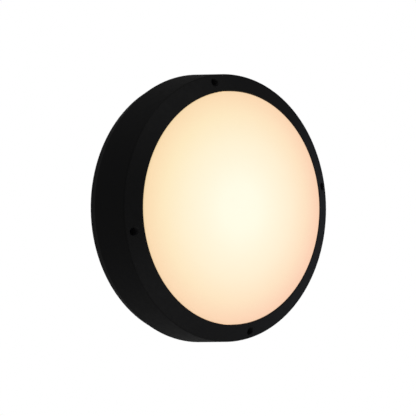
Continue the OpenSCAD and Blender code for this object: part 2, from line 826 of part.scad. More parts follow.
// Socket for a wire in an end face of the driver
port_depth = 3;
module wire_port(d) {
    translate([-port_depth, 0, 0]) rotate([0, 90, 0])
        cylinder(d = d + 2 * thread_gap, h = 2 * port_depth, $fn = small_fn);
}

module driver_screws() {
    color(zinc) on_wall() for (side = [-1, 1])
        translate([side * driver_screw_x, -driver_drop, ear_z + ear_t])
            pan_screw(driver_screw_d, driver_screw_l);
}

// Places copies at the poles of the terminal block
module at_poles() {
    for (i = [0:pole_count - 1])
        translate([(i - (pole_count - 1) / 2) * pole_pitch, block_rise, 0]) children();
}

// Shell of the terminal block: a low body, two screw towers with a web on each pole, and ears
module block_shell() {
    body_h = block_h - tower_h;
    translate([0, block_rise, 0]) {
        translate([0, 0, block_z]) rounded_block([block_l, block_w, body_h], 1);
        translate([0, 0, ear_z]) rounded_block([block_l + 2 * ear_l, block_ear_w, ear_t], 1.5);
    }
    at_poles() {
        for (side = [-1, 1]) translate([0, side * clamp_screw_y, 0])
            drum(tower_r, block_z + bite, block_top);
        bar(-tower_r / 2, tower_r / 2, 2 * clamp_screw_y, block_z + bite, block_top - tower_h / 2);
    }
}

// Grooves round the low body, where one pole can be cut from the next
module block_grooves() {
    body_top = block_top - tower_h;
    depth = 2 * pole_groove_depth;
    for (i = [1:pole_count - 1]) translate([(i - pole_count / 2) * pole_pitch, block_rise, 0]) difference() {
        bar(-pole_groove_w / 2, pole_groove_w / 2, block_w + cut, block_z - cut, body_top + cut);
        bar(-pole_groove_w, pole_groove_w, block_w - depth, block_z - 2 * cut, body_top - pole_groove_depth);
    }
}

// Terminal block of three poles
module terminal_block() {
    port_r = mains_wire_d / 2 + port_gap;
    color("white") on_wall() difference() {
        block_shell();
        block_grooves();
        for (side = [-1, 1]) translate([side * block_screw_x, block_rise, 0])
            drum(block_screw_d / 2 + screw_gap, ear_z - cut, ear_z + ear_t + cut);
        at_poles() {
            bar(-insert_size.x / 2, insert_size.x / 2, insert_size.y, insert_z, insert_z + insert_size.z);
            translate([0, -block_w / 2 - cut, pole_z]) rotate([-90, 0, 0])
                cylinder(r = port_r, h = block_w + 2 * cut, $fn = small_fn);
            for (side = [-1, 1]) translate([0, side * clamp_screw_y, 0])
                drum(clamp_screw_d / 2 + tower_bore_gap, pole_z, block_top + cut);
        }
    }
}

// Brass tunnels inside the terminal block
module terminal_inserts() {
    color(brass) on_wall() at_poles() difference() {
        bar(-insert_size.x / 2, insert_size.x / 2, insert_size.y, insert_z, insert_z + insert_size.z);
        translate([0, -insert_size.y / 2 - cut, pole_z]) rotate([-90, 0, 0])
            cylinder(r = mains_wire_d / 2 + insert_gap, h = insert_size.y + 2 * cut, $fn = small_fn);
        for (side = [-1, 1]) translate([0, side * clamp_screw_y, 0])
            drum(clamp_screw_d / 2 + thread_gap, pole_z, insert_z + insert_size.z + cut);
    }
}

// Headless screws that press on the wires
module clamp_screws() {
    screw_top = block_top - clamp_screw_sink;
    color(brass) on_wall() at_poles() for (side = [-1, 1]) translate([0, side * clamp_screw_y, 0])
        difference() {
            drum(clamp_screw_d / 2, pole_z + mains_wire_d / 2, screw_top);
            bar(-clamp_screw_d, clamp_screw_d, clamp_slot_w, screw_top - clamp_slot_depth, block_top);
        }
}

module block_screws() {
    color(zinc) on_wall() for (side = [-1, 1])
        translate([side * block_screw_x, block_rise, ear_z + ear_t]) pan_screw(block_screw_d, block_screw_l);
}

// Crimped ring tag on the earth boss
module earth_tag() {
    tongue_end = tag_reach - tag_barrel_l / 2;
    color(zinc) on_wall() translate([earth_x, earth_y, 0]) rotate([0, 0, tag_angle]) difference() {
        union() {
            drum(tag_ring_r, earth_z, earth_z + tag_t);
            bar(0, tongue_end + tag_barrel_l, tag_neck_w, earth_z, earth_z + tag_t);
            translate([tongue_end, 0, tag_barrel_z]) rotate([0, 90, 0])
                cylinder(r = tag_barrel_r, h = tag_barrel_l, $fn = small_fn);
        }
        translate([tongue_end - cut, 0, tag_barrel_z]) rotate([0, 90, 0])
            cylinder(r = mains_wire_d / 2, h = tag_barrel_l + 2 * cut, $fn = small_fn);
        drum(earth_screw_d / 2 + screw_gap, earth_z - cut, earth_z + tag_t + cut);
    }
}

module earth_screw() {
    color(brass) on_wall() translate([earth_x, earth_y, earth_z + tag_t])
        pan_screw(earth_screw_d, earth_screw_l);
}

// Wire routes. Each starts in the terminal block or the driver, runs straight out of it and
// ends straight in its socket.
curve_steps = 14;
wire_grip = 5;
barrel_stop = 1;
wire_gap = 0.3;
pole_mouth_y = block_rise + block_w / 2;
grip_y = block_rise + insert_size.y / 2 - wire_grip;
driver_port_x = driver_l / 2 - port_depth;
tray_hole = bush_circle * [cos(wire_angle), sin(wire_angle)];
outwards = [cos(wire_angle), sin(wire_angle), 0];
sideways = [-sin(wire_angle), cos(wire_angle), 0];
// How far each curve keeps its first or last direction
live_lead = [0, 31, 0];
neutral_lead = [0, 43, 6];
driver_lead = [14, 0, 0];
earth_lead = [0, 19, 0];
tag_lead = 18;
port_lead = [15, 0, 0];
bush_lead = 10;
arch_lead = 14;
connector_lead = 9;
// Half the distance between the two low-voltage wires in the bush
wire_spread = led_wire_d / 2 + wire_gap;

function mains_route(pole, side, lead) =
    let (from = [(pole - 1) * pole_pitch, pole_mouth_y, pole_z])
    let (to = [-driver_port_x, -driver_drop + side * port_spread * mains_wire_d, driver_port_z])
    let (back = [lead.y, 0, -lead.z] + driver_lead)
    concat([[from.x, grip_y, from.z]],
           curve([from, from + lead, to - back, to - [port_depth, 0, 0]], curve_steps),
           [to]);

function led_route(side) =
    let (from = [driver_port_x, -driver_drop + side * port_spread * led_wire_d, driver_port_z])
    let (face = from + [port_depth, 0, 0])
    let (under = [tray_hole.x, tray_hole.y, tray_z] + side * wire_spread * sideways)
    let (over = under + [0, 0, tray_t])
    let (port_z = board_top + connector_size.z / 2)
    let (to = connector_r * outwards + side * connector_size.y / 4 * sideways + [0, 0, port_z])
    let (mouth = to + connector_size.x / 2 * outwards)
    concat([from],
           curve([face, face + port_lead, under - [0, 0, bush_lead], under], curve_steps),
           curve([over, over + [0, 0, arch_lead], mouth + connector_lead * outwards, mouth], curve_steps),
           [to]);

module wire_live() {
    color("saddlebrown") on_wall() wire(mains_route(0, 1, live_lead), mains_wire_d, [0, 0, 1]);
}

module wire_neutral() {
    color("royalblue") on_wall() wire(mains_route(1, -1, neutral_lead), mains_wire_d, [0, 0, 1]);
}

module wire_earth() {
    from = [pole_pitch, pole_mouth_y, pole_z];
    reach = tag_reach + tag_barrel_l / 2;
    lead = [cos(tag_angle), sin(tag_angle), 0];
    to = [earth_x, earth_y, tag_barrel_z] + reach * lead;
    path = concat([[from.x, grip_y, from.z]],
                  curve([from, from + earth_lead, to + tag_lead * lead, to], curve_steps),
                  [to - (tag_barrel_l - barrel_stop) * lead]);
    color("limegreen") on_wall() wire(path, mains_wire_d, [0, 0, 1]);
}

module wire_led_plus() {
    color("firebrick") on_wall() wire(led_route(1), led_wire_d, sideways);
}

module wire_led_minus() {
    color("#222222") on_wall() wire(led_route(-1), led_wire_d, sideways);
}

base();
wall_seal();
cable_grommet();
fixing_seals();
seam_seal();
front_cover();
cover_screws();
screw_seals();
diffuser();
diffuser_seal();
diffuser_retainer();
retainer_screws();
gear_tray();
tray_screws();
tray_bush();
thermal_pad();
led_board();
led_chips();
board_connector();
board_screws();
led_driver();
driver_screws();
terminal_block();
terminal_inserts();
clamp_screws();
block_screws();
earth_tag();
earth_screw();
wire_live();
wire_neutral();
wire_earth();
wire_led_plus();
wire_led_minus();
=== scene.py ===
"""Looks of a round outdoor wall light, lit: a black coated cast body and a warm opal diffuser."""
import math

import bmesh
import bpy
from mathutils import Matrix, Vector
from mathutils.geometry import interpolate_bezier


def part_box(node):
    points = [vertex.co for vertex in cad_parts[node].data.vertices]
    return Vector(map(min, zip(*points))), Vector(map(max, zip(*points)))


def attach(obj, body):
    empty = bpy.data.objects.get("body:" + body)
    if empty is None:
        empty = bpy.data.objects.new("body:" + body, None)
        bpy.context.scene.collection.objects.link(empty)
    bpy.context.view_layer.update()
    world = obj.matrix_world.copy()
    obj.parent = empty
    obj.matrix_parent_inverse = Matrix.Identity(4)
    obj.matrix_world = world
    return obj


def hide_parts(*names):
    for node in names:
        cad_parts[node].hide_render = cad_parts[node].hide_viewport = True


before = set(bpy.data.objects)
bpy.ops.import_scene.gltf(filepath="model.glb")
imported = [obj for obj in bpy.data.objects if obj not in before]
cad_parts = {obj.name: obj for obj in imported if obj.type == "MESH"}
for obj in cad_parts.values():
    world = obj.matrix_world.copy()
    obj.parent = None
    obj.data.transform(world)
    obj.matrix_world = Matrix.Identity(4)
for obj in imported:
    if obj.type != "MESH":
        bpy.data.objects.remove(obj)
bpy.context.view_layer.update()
scene = bpy.context.scene


# View of the photograph
# The light is seen from its left and a hair from below, with a long lens. The aim is a little to
# the right of the light's centre.
CAMERA_YAW = math.radians(40.15)
CAMERA_RISE = math.radians(0.71)
CAMERA_PLACE = Vector((0.0147, 0.0005, 1.8448))
LENS_MM = 141.43
SENSOR_MM = 36

camera_data = bpy.data.cameras.new("camera")
camera_data.sensor_width = SENSOR_MM
camera_data.lens = LENS_MM
camera = bpy.data.objects.new("camera", camera_data)
scene.collection.objects.link(camera)
turn = Matrix.Rotation(-CAMERA_YAW, 3, "Z") @ Matrix.Rotation(math.pi / 2 + CAMERA_RISE, 3, "X")
camera.location = turn @ CAMERA_PLACE
camera.rotation_euler = turn.to_euler()
scene.camera = camera


# Base and front cover: black powder coat
# Two aluminium die castings with a polyester powder coat. The powder melts into a low, even orange
# peel with a fine dry grain in it, so the black stays deep and shows only broad, soft reflections.
COAT_TONES = ("#131315", "#1a1a1c")
COAT_CLOUD_MM = 7.0
COAT_ROUGHNESS = (0.46, 0.56)
COAT_RELIEF = [(1.9, 0.010), (0.42, 0.006)]
MM_PER_M = 1000
CLOUD_DETAIL = 3.0
CLOUD_RANGE = (0.3, 0.7)
GRAIN_DETAIL = 2.0
SPECKLE_RANGE = (0.75, 1.25)


def linear(hex_colour):
    """Turns an sRGB hex colour into linear RGBA."""
    parts = [int(hex_colour[i:i + 2], 16) / 255 for i in (1, 3, 5)]
    return [c / 12.92 if c <= 0.04045 else ((c + 0.055) / 1.055) ** 2.4 for c in parts] + [1.0]


def add(tree, kind, inputs=None, **settings):
    """Adds a shader node, sets its options, and fills or links its inputs."""
    node = tree.nodes.new("ShaderNode" + kind)
    for name, value in settings.items():
        setattr(node, name, value)
    for name, value in (inputs or {}).items():
        if isinstance(value, bpy.types.NodeSocket):
            tree.links.new(value, node.inputs[name])
        else:
            node.inputs[name].default_value = value
    return node


def surface(name, tones, cloud_mm, roughness, relief, stretch=(1, 1, 1), **uniform):
    """Starts a material: two tones in clouds, a range of roughness, and layers of relief.

    The relief is a list of (grain in mm, depth in mm). A stretch draws the grain out along an axis.
    Gives the material, its tree, its shader, the place in mm, and the colour and normal so far."""
    material = bpy.data.materials.new(name)
    material.use_nodes = True
    tree = material.node_tree
    shader = tree.nodes["Principled BSDF"]
    for socket, value in uniform.items():
        shader.inputs[socket.replace("_", " ")].default_value = value
    place = add(tree, "TexCoord").outputs["Object"]
    mm = add(tree, "VectorMath", {0: place, 1: (MM_PER_M,) * 3}, operation="MULTIPLY").outputs[0]
    drawn = add(tree, "VectorMath", {0: mm, 1: stretch}, operation="DIVIDE").outputs[0]
    clouds = add(tree, "TexNoise", {"Vector": drawn, "Scale": 1 / cloud_mm,
                                    "Detail": CLOUD_DETAIL}).outputs["Fac"]
    shade = add(tree, "MapRange", {"Value": clouds, "From Min": CLOUD_RANGE[0], "From Max": CLOUD_RANGE[1],
                                   "To Min": roughness[0], "To Max": roughness[1]})
    tree.links.new(shade.outputs["Result"], shader.inputs["Roughness"])
    normal = None
    for size_mm, depth_mm in relief:
        grain = add(tree, "TexNoise", {"Vector": drawn, "Scale": 1 / size_mm,
                                       "Detail": GRAIN_DETAIL}).outputs["Fac"]
        bump = add(tree, "Bump", {"Height": grain, "Distance": depth_mm / MM_PER_M})
        if normal:
            tree.links.new(normal, bump.inputs["Normal"])
        normal = bump.outputs["Normal"]
    tree.links.new(normal, shader.inputs["Normal"])
    mixed = add(tree, "Math", {0: clouds, 1: grain}, operation="ADD").outputs[0]
    weight = add(tree, "MapRange", {"Value": mixed, "From Min": SPECKLE_RANGE[0],
                                    "From Max": SPECKLE_RANGE[1]}).outputs["Result"]
    tone = add(tree, "Mix", {"Factor": weight, "A": linear(tones[0]), "B": linear(tones[1])},
               data_type="RGBA").outputs["Result"]
    tree.links.new(tone, shader.inputs["Base Color"])
    return material, tree, shader, mm, tone, normal


def finish(material, *names):
    """Gives CAD nodes their material."""
    for name in names:
        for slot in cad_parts[name].material_slots:
            slot.material = material


coat, tree, shader, mm, tone, _ = surface(
    "powder_coat_black", COAT_TONES, COAT_CLOUD_MM, COAT_ROUGHNESS, COAT_RELIEF)
finish(coat, "base", "front_cover")


# Screw wells: painted light
# The four deep wells of the cover are painted a lighter grey out to the well radius. This is painted
# light that stands in for the light reaching into them.
PAINTED_WELL_LIGHT = "#545456"
WELL_R_MM = 4.82
ALONG_WALL = (1, 0, 1)
WELD_MM = 1e-4
ON_WALL = Matrix.Rotation(math.pi / 2, 4, "X") @ Matrix.Scale(1 / MM_PER_M, 4)


def spots(node):
    """Where each solid of a CAD node stands, in mm with the wall at z = 0: x, y, low and high end."""
    shape = bmesh.new()
    shape.from_mesh(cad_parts[node].data)
    shape.transform(ON_WALL.inverted())
    bmesh.ops.remove_doubles(shape, verts=shape.verts, dist=WELD_MM)
    waiting = dict.fromkeys(shape.verts)
    found = []
    while waiting:
        solid = [waiting.popitem()[0]]
        # The list grows while it is read, until it holds all vertices of this solid.
        for vert in solid:
            for near in [edge.other_vert(vert) for edge in vert.link_edges]:
                if near in waiting:
                    del waiting[near]
                    solid.append(near)
        reach = [[pick(vert.co[axis] for vert in solid) for pick in (min, max)] for axis in range(3)]
        middle = [sum(ends) / 2 for ends in reach[:2]]
        found.append(tuple(round(value, 3) for value in middle + reach[2]))
    shape.free()
    return sorted(found)


flat = add(tree, "VectorMath", {0: mm, 1: ALONG_WALL}, operation="MULTIPLY").outputs[0]
in_well = 0.0
for x, y, _, _ in spots("cover_screws"):
    off = add(tree, "VectorMath", {0: flat, 1: (x, 0, y)}, operation="DISTANCE").outputs["Value"]
    inside = add(tree, "Math", {0: off, 1: WELL_R_MM}, operation="LESS_THAN").outputs[0]
    in_well = add(tree, "Math", {0: in_well, 1: inside}, operation="MAXIMUM").outputs[0]
# Painted light: inside the wells the coat's tone is swapped for a lighter grey.
well_painted_light = add(tree, "Mix", {"Factor": in_well, "A": tone, "B": linear(PAINTED_WELL_LIGHT)}, data_type="RGBA")
tree.links.new(well_painted_light.outputs["Result"], shader.inputs["Base Color"])


# Wall seal: closed-cell foam
# A ring cut from a sheet of black EPDM foam and glued into the foot of the base. Its cut faces show
# the cells as fine open pits, and it reflects almost nothing.
FOAM_TONES = ("#232326", "#303034")
FOAM_CELL_MM = 0.9
FOAM_PIT_MM = 0.12

foam, tree, shader, mm, _, normal = surface(
    "epdm_foam", FOAM_TONES, cloud_mm=5.0, roughness=(0.88, 0.96), relief=[(0.5, 0.03)],
    Specular_IOR_Level=0.3)
cells = add(tree, "TexVoronoi", {"Vector": mm, "Scale": 1 / FOAM_CELL_MM}, feature="SMOOTH_F1")
pits = add(tree, "Bump", {"Height": cells.outputs["Distance"], "Distance": FOAM_PIT_MM / MM_PER_M,
                          "Normal": normal})
tree.links.new(pits.outputs["Normal"], shader.inputs["Normal"])
finish(foam, "wall_seal")


# Grommet, bush and seals: black rubber
# Compression-moulded EPDM. It comes from a fine-blasted mould, so it is matt, with a faint greyish
# bloom in clouds where wax has come to the surface.
RUBBER_TONES = ("#151516", "#202022")
BLOOM = "#33343a"
BLOOM_MM = 11.0
BLOOM_DETAIL = 5.0
BLOOM_FINENESS = 0.6
BLOOM_RANGE = (0.52, 0.75)
BLOOM_MOST = 0.45

rubber, tree, shader, mm, tone, _ = surface(
    "epdm_rubber", RUBBER_TONES, cloud_mm=3.0, roughness=(0.62, 0.76),
    relief=[(1.2, 0.008), (0.25, 0.010)], IOR=1.52)
patches = add(tree, "TexNoise", {"Vector": mm, "Scale": 1 / BLOOM_MM, "Detail": BLOOM_DETAIL,
                                 "Roughness": BLOOM_FINENESS})
haze = add(tree, "MapRange", {"Value": patches.outputs["Fac"], "From Min": BLOOM_RANGE[0],
                              "From Max": BLOOM_RANGE[1], "To Max": BLOOM_MOST})
bloomed = add(tree, "Mix", {"Factor": haze.outputs["Result"], "A": tone, "B": linear(BLOOM)},
              data_type="RGBA")
tree.links.new(bloomed.outputs["Result"], shader.inputs["Base Color"])
finish(rubber, "cable_grommet", "fixing_seals", "seam_seal", "screw_seals", "tray_bush")


# Terminal block: natural polyamide
# Moulded in one piece, three poles in a row. Unfilled polyamide is a warm white that lets a little
# light in, with a satin skin from a spark-eroded mould.
POLYAMIDE_TONES = ("#e9e5d8", "#f0ede2")

polyamide = surface("polyamide_natural", POLYAMIDE_TONES, cloud_mm=9.0, roughness=(0.38, 0.50),
                    relief=[(2.5, 0.010), (0.3, 0.008)], IOR=1.53,
                    Subsurface_Weight=0.08, Subsurface_Scale=0.002)[0]
finish(polyamide, "terminal_block")


# Driver case and board connector: white polycarbonate
# Moulded: the case is screwed to the base, and the connector sits on the board. They are glossier
# than the terminal block and a colder white, and flow lines from the gate run along them.
POLYCARBONATE_TONES = ("#eceded", "#f5f6f5")
FLOW_STRETCH = (6, 1, 1)

polycarbonate = surface("polycarbonate_white", POLYCARBONATE_TONES, cloud_mm=6.0, roughness=(0.30, 0.44),
                        relief=[(4.0, 0.012), (0.28, 0.006)], stretch=FLOW_STRETCH, IOR=1.58)[0]
finish(polycarbonate, "led_driver", "board_connector")


# Pan-head screws, retaining ring and earth tag: zinc-plated steel
# The screws have rolled threads and pressed heads with a cross recess, and ring and tag are stamped
# from sheet. Bright zinc with a clear passivation has a cold shine that drifts from bluish to straw
# over a few millimetres.
ZINC_TONES = ("#b4bcc6", "#cbc8b9")
THREAD_STEPS = 20
THREAD_CREST = 0.98
THREAD_DEPTH = 0.61
THREAD_FLANKS = (0.125, 0.4375, 0.5625, 0.875)
THREAD_WELD = 0.005
THREAD_CUT = 0.002
HEAD_STEPS = 40
HEAD_RADIUS = 0.95
HEAD_HEIGHT = 0.6
CROWN = 0.65
CROWN_STEPS = 6
SHANK_IN_HEAD = 0.15
CROSS_REACH = 0.5
CROSS_WIDTH = 0.13
CROSS_DEPTH = 0.38
CROSS_TAPER = 0.55
CUT_OVER = 0.1
SMOOTH_ANGLE = math.radians(35)
PITCHES_MM = {3: 0.5, 3.5: 0.6, 4: 0.7, 5: 0.8}
SCREW_SIZES = {"driver_screws": 3.5, "block_screws": 3, "tray_screws": 4, "board_screws": 3,
               "retainer_screws": 3}
HEADS_TO_WALL = ["retainer_screws"]
LAST_TURN = 2.4


def threaded_shank(d, length, top=0):
    """A shank with a real thread, from z = top down to -length: one pitch, turned as it climbs."""
    pitch = PITCHES_MM[d]
    turns = math.ceil((length + top) / pitch) + 2
    crest, root = THREAD_CREST * d / 2, d / 2 - THREAD_DEPTH * pitch
    rise, level, drop, foot = THREAD_FLANKS
    profile = [(root, 0), (root, rise), (crest, level), (crest, drop), (root, foot), (root, 1)]
    shape = bmesh.new()
    verts = [shape.verts.new((r, 0, z * pitch - length - pitch)) for r, z in profile]
    edges = [shape.edges.new(pair) for pair in zip(verts, verts[1:])]
    bmesh.ops.spin(shape, geom=verts + edges, axis=(0, 0, 1), cent=(0, 0, 0), angle=2 * math.pi * turns,
                   dvec=(0, 0, pitch / THREAD_STEPS), steps=turns * THREAD_STEPS)
    bmesh.ops.remove_doubles(shape, verts=shape.verts, dist=pitch * THREAD_WELD)
    for end, side in ((top, 1), (-length, -1)):
        bmesh.ops.bisect_plane(shape, geom=shape.verts[:] + shape.edges[:] + shape.faces[:],
                               dist=pitch * THREAD_CUT, plane_co=(0, 0, end), plane_no=(0, 0, side),
                               clear_outer=True)
    bmesh.ops.holes_fill(shape, edges=[e for e in shape.edges if e.is_boundary])
    bmesh.ops.recalc_face_normals(shape, faces=shape.faces)
    return shape


def turned(profile, steps):
    """A closed solid from a profile of (radius, height) that starts and ends on the axis."""
    shape = bmesh.new()
    verts = [shape.verts.new((r, 0, z)) for r, z in profile]
    edges = [shape.edges.new(pair) for pair in zip(verts, verts[1:])]
    bmesh.ops.spin(shape, geom=verts + edges, axis=(0, 0, 1), cent=(0, 0, 0), angle=2 * math.pi,
                   steps=steps, use_merge=True)
    bmesh.ops.remove_doubles(shape, verts=shape.verts, dist=WELD_MM)
    bmesh.ops.recalc_face_normals(shape, faces=shape.faces)
    return shape


def plug(outline, top, depth, taper=1.0):
    """A block with an outline of (x, y) points, from z = top down, narrowed at its lower end."""
    shape = bmesh.new()
    face = shape.faces.new([shape.verts.new((x, y, top)) for x, y in outline])
    lower = bmesh.ops.extrude_face_region(shape, geom=[face])["geom"]
    verts = [v for v in lower if isinstance(v, bmesh.types.BMVert)]
    bmesh.ops.translate(shape, verts=verts, vec=(0, 0, -depth))
    bmesh.ops.scale(shape, verts=verts, vec=(taper, taper, 1))
    bmesh.ops.recalc_face_normals(shape, faces=shape.faces)
    return shape


def combine(shape, tool, operation):
    """Joins a second solid to the first or cuts it out. Both are used up."""
    objects = []
    for part in (shape, tool):
        data = bpy.data.meshes.new("part")
        part.to_mesh(data)
        part.free()
        objects.append(bpy.data.objects.new("part", data))
        scene.collection.objects.link(objects[-1])
    boolean = objects[0].modifiers.new("combine", "BOOLEAN")
    boolean.object = objects[1]
    boolean.operation = operation
    boolean.solver = "EXACT"
    result = bmesh.new()
    result.from_object(objects[0], bpy.context.evaluated_depsgraph_get())
    bmesh.ops.remove_doubles(result, verts=result.verts, dist=WELD_MM)
    bmesh.ops.dissolve_degenerate(result, edges=result.edges, dist=WELD_MM)
    bmesh.ops.holes_fill(result, edges=[e for e in result.edges if e.is_boundary])
    for used in objects:
        bpy.data.objects.remove(used)
    return result


def copies(shape, matrices):
    """One shape repeated at each of the given places."""
    single = bpy.data.meshes.new("single")
    shape.to_mesh(single)
    shape.free()
    together = bmesh.new()
    for matrix in matrices:
        placed = single.copy()
        placed.transform(matrix)
        together.from_mesh(placed)
    return together


def stands_for(node, shape, slot, *materials):
    """Puts a shape in mm, modelled with the wall at z = 0, in the place of a CAD node."""
    data = bpy.data.meshes.new(node + "_made")
    shape.transform(ON_WALL)
    shape.to_mesh(data)
    shape.free()
    for material in materials:
        data.materials.append(material)
    data.shade_smooth()
    data.set_sharp_from_angle(angle=SMOOTH_ANGLE)
    obj = bpy.data.objects.new(node + "_made", data)
    scene.collection.objects.link(obj)
    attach(obj, "root")
    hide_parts(node)


def pan_screw(d, length):
    """A pan-head screw with a cross recess, its head's underside at z = 0."""
    r, h = d * HEAD_RADIUS, d * HEAD_HEIGHT
    bows = [k * math.pi / 2 / CROWN_STEPS for k in range(CROWN_STEPS)]
    crown = [(r * math.cos(a), h * (1 - CROWN + CROWN * math.sin(a))) for a in bows]
    head = turned([(0, 0), (r, 0)] + crown + [(0, h)], HEAD_STEPS)
    screw = combine(head, threaded_shank(d, length, SHANK_IN_HEAD * d), "UNION")
    a, b = CROSS_REACH * d, CROSS_WIDTH * d
    quarter = [(a, -b), (a, b), (b, b)]
    cross = [Matrix.Rotation(k * math.pi / 2, 2) @ Vector(p) for k in range(4) for p in quarter]
    recess = plug(cross, h * (1 + CUT_OVER), CROSS_DEPTH * d + h * CUT_OVER, CROSS_TAPER)
    return combine(screw, recess, "DIFFERENCE")


def seats(node, head_h=0):
    """Where the heads of a node's screws sit, each stopped at its own turn, and their length."""
    flip = node in HEADS_TO_WALL
    over = Matrix.Rotation(math.pi, 4, "X") if flip else Matrix.Identity(4)
    places = []
    for k, (x, y, low, high) in enumerate(spots(node)):
        seat = Matrix.Translation((x, y, low + head_h if flip else high - head_h))
        places.append(seat @ Matrix.Rotation(k * LAST_TURN, 4, "Z") @ over)
    return places, round(high - low - head_h, 3)


zinc = surface("zinc_plated_steel", ZINC_TONES, cloud_mm=4.0, roughness=(0.24, 0.40),
               relief=[(1.4, 0.004), (0.2, 0.003)], Metallic=1.0)[0]
for node, d in SCREW_SIZES.items():
    places, length = seats(node, HEAD_HEIGHT * d)
    stands_for(node, copies(pan_screw(d, length), places), "zinc_steel", zinc)
finish(zinc, "diffuser_retainer", "earth_tag")


# Earth screw, terminal tunnels and clamp screws: brass
# Turned and tapped from drawn rod. Fresh brass is a light straw yellow that goes a little darker and
# redder in clouds as it tarnishes, with fine marks from the tool.
BRASS_TONES = ("#b88a3e", "#d8b25e")
EARTH_D = 4
CLAMP_D = 3
SLOT_HALF = (2.2, 0.3)
SLOT_DEPTH = 1.0
CUT_OVER_MM = 0.5

brass = surface("turned_brass", BRASS_TONES, cloud_mm=2.6, roughness=(0.22, 0.36),
                relief=[(0.9, 0.004), (0.16, 0.003)], Metallic=1.0)[0]
finish(brass, "terminal_inserts")
places, length = seats("earth_screw", HEAD_HEIGHT * EARTH_D)
stands_for("earth_screw", copies(pan_screw(EARTH_D, length), places), "brass", brass)
places, length = seats("clamp_screws")
x, y = SLOT_HALF
slot = plug([(-x, -y), (x, -y), (x, y), (-x, y)], CUT_OVER_MM, SLOT_DEPTH + CUT_OVER_MM)
slotted = combine(threaded_shank(CLAMP_D, length), slot, "DIFFERENCE")
stands_for("clamp_screws", copies(slotted, places), "brass", brass)


# Gear tray: white coated sheet
# Deep-drawn steel with a high-white powder coat, which throws the light forward. The coat has a
# longer, glossier orange peel than the body's.
TRAY_TONES = ("#eeeee9", "#f6f6f2")

tray_white = surface("reflector_white", TRAY_TONES, cloud_mm=14.0, roughness=(0.26, 0.38),
                     relief=[(2.8, 0.016), (0.6, 0.004)])[0]
finish(tray_white, "gear_tray")


# Thermal pad: filled silicone
# A soft grey-blue sheet with ceramic powder in it, cut round. The weave of its carrier shows through
# as a fine grid, and the powder as pale specks.
PAD_TONES = ("#7f8790", "#8d959c")
PAD_SPECK = "#c6cbd0"
WEAVE_MM = 0.8
WEAVE_DEPTH_MM = 0.05
BANDS_PER_UNIT = 3.2
POWDER_MM = 0.625
SPECK_EDGE = (0.10, 0.16)

pad, tree, shader, mm, tone, normal = surface(
    "filled_silicone", PAD_TONES, cloud_mm=6.0, roughness=(0.66, 0.78), relief=[(0.5, 0.012)])
heights = [add(tree, "TexWave", {"Vector": mm, "Scale": 1 / (WEAVE_MM * BANDS_PER_UNIT)},
               bands_direction=axis).outputs["Fac"] for axis in ("X", "Z")]
grid = add(tree, "Math", {0: heights[0], 1: heights[1]}, operation="MULTIPLY")
woven = add(tree, "Bump", {"Height": grid.outputs[0], "Distance": WEAVE_DEPTH_MM / MM_PER_M,
                           "Normal": normal})
tree.links.new(woven.outputs["Normal"], shader.inputs["Normal"])
powder = add(tree, "TexVoronoi", {"Vector": mm, "Scale": 1 / POWDER_MM})
speck = add(tree, "MapRange", {"Value": powder.outputs["Distance"], "From Min": SPECK_EDGE[0],
                               "From Max": SPECK_EDGE[1], "To Min": 1.0, "To Max": 0.0})
specked = add(tree, "Mix", {"Factor": speck.outputs["Result"], "A": tone, "B": linear(PAD_SPECK)},
              data_type="RGBA")
tree.links.new(specked.outputs["Result"], shader.inputs["Base Color"])
finish(pad, "thermal_pad")


# Light source board: white solder mask on aluminium
# The copper lies under the mask as three rings that the chips bridge. It shows as raised bands of a
# slightly greener white, and the milled edge of the aluminium core is bare.
MASK_TONES = ("#efefe9", "#f6f6f1")
OVER_COPPER = "#e3e6dc"
CORE = "#b9bbbe"
COPPER_HALF_MM = 2.6
COPPER_DEPTH_MM = 0.05
EDGE_SKIN_MM = 0.1

mask, tree, shader, mm, tone, normal = surface(
    "solder_mask_white", MASK_TONES, cloud_mm=10.0, roughness=(0.34, 0.46),
    relief=[(1.5, 0.006), (0.3, 0.003)], IOR=1.55)
flat = add(tree, "VectorMath", {0: mm, 1: ALONG_WALL}, operation="MULTIPLY")
radius = add(tree, "VectorMath", {0: flat.outputs[0]}, operation="LENGTH").outputs["Value"]
height = 0.0
for ring in sorted({round(math.hypot(x, y), 1) for x, y, _, _ in spots("led_chips")}):
    inside = add(tree, "Math", {0: radius, 1: ring, 2: COPPER_HALF_MM}, operation="COMPARE").outputs[0]
    height = add(tree, "Math", {0: height, 1: inside}, operation="MAXIMUM").outputs[0]
raised = add(tree, "Bump", {"Height": height, "Distance": COPPER_DEPTH_MM / MM_PER_M, "Normal": normal})
tree.links.new(raised.outputs["Normal"], shader.inputs["Normal"])
banded = add(tree, "Mix", {"Factor": height, "A": tone, "B": linear(OVER_COPPER)}, data_type="RGBA")
rim = MM_PER_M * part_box("led_board")[1][0] - EDGE_SKIN_MM
edge = add(tree, "Math", {0: radius, 1: rim}, operation="GREATER_THAN").outputs[0]
bare = add(tree, "Mix", {"Factor": edge, "A": banded.outputs["Result"], "B": linear(CORE)}, data_type="RGBA")
tree.links.new(bare.outputs["Result"], shader.inputs["Base Color"])
tree.links.new(edge, shader.inputs["Metallic"])
finish(mask, "led_board")


# Light-emitting chips: white packages with a phosphor window
# Each is a moulded white frame around a pool of clear resin with phosphor in it. Lit, the window
# glows a warm white, and the frame catches some of it.
PACKAGE = (2.8, 3.5, 0.7)
PACKAGE_RIM = 0.35
WINDOW_SINK = 0.12
WINDOW_SLOPE = PACKAGE_RIM / 3
PACKAGE_TONES = ("#f0eee4", "#f7f5ee")
PHOSPHOR_TONES = ("#e9a81e", "#f3bf3c")
PHOSPHOR_LIGHT = "#ffd08a"

